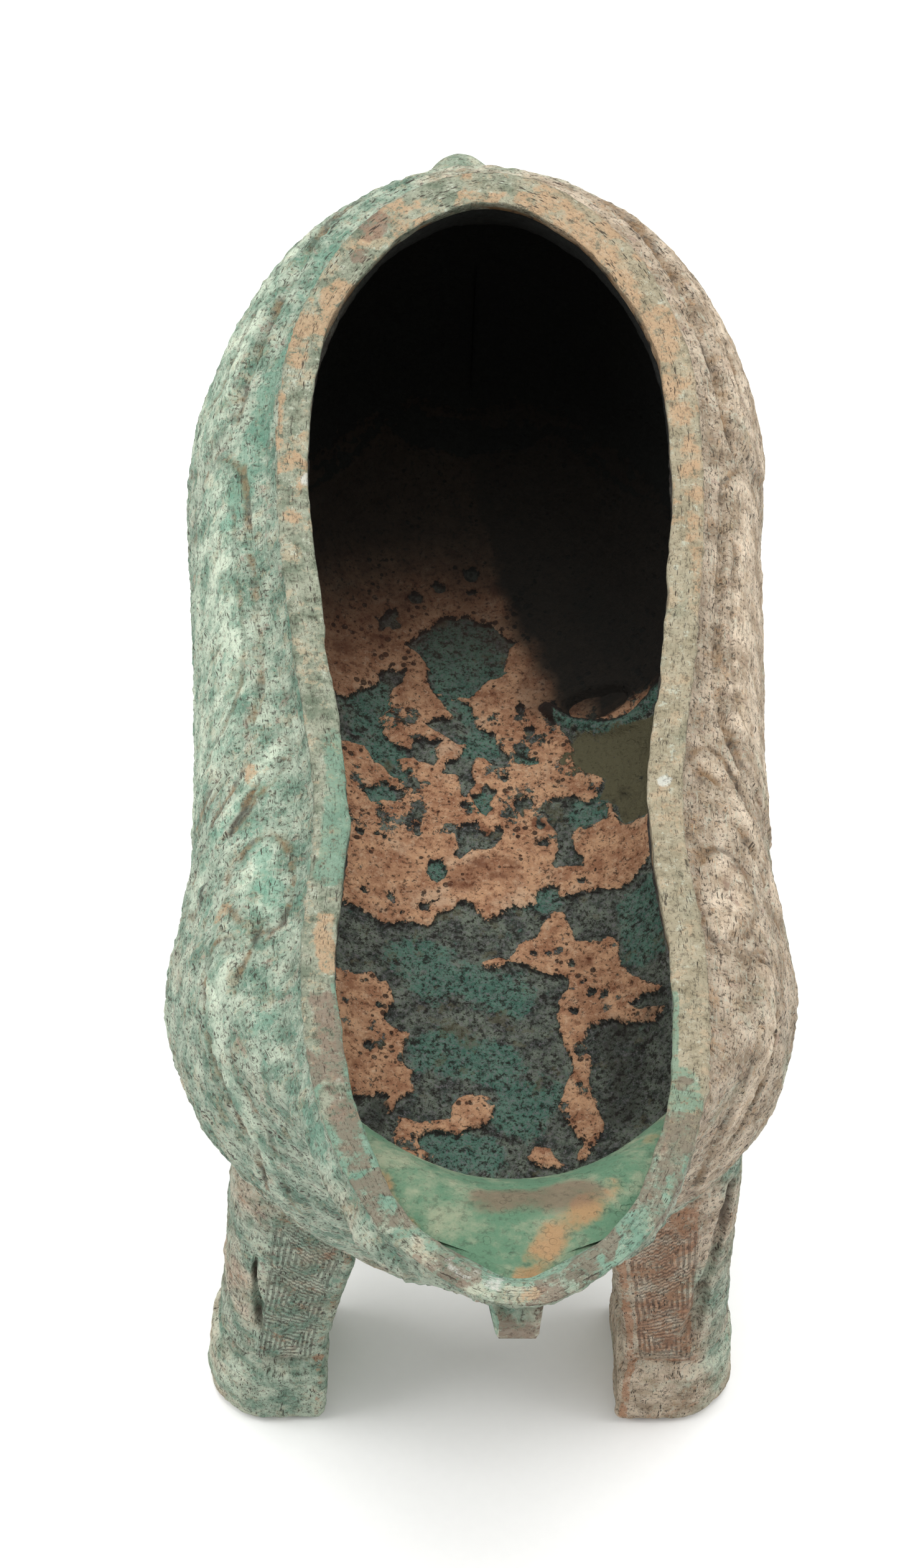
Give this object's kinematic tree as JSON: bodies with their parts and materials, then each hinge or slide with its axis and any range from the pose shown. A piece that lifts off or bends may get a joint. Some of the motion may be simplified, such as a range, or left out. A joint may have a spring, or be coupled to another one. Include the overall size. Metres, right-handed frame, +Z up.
{
  "type": "animal-shaped zun vessel",
  "caption": "Lidless bronze wine vessel in the shape of a hoofed animal, its boat-shaped rim running out into a pouring lip, with relief on the flanks and a loop handle behind.",
  "frame": {"origin": "on the ground under the middle of the vessel's length and width", "axes": "+Z up, +Y towards the rear and the handle, so the pouring lip faces -Y; +X is on the right of someone who looks along +Y"},
  "size_m": [0.1232, 0.3218, 0.171],
  "materials": {
    "bronze": "cast bronze under a matt grey-green patina, with turquoise, peach and terracotta corrosion"
  },
  "bodies": {
    "root": {"vessel": "bronze"}
  },
  "joints": []
}
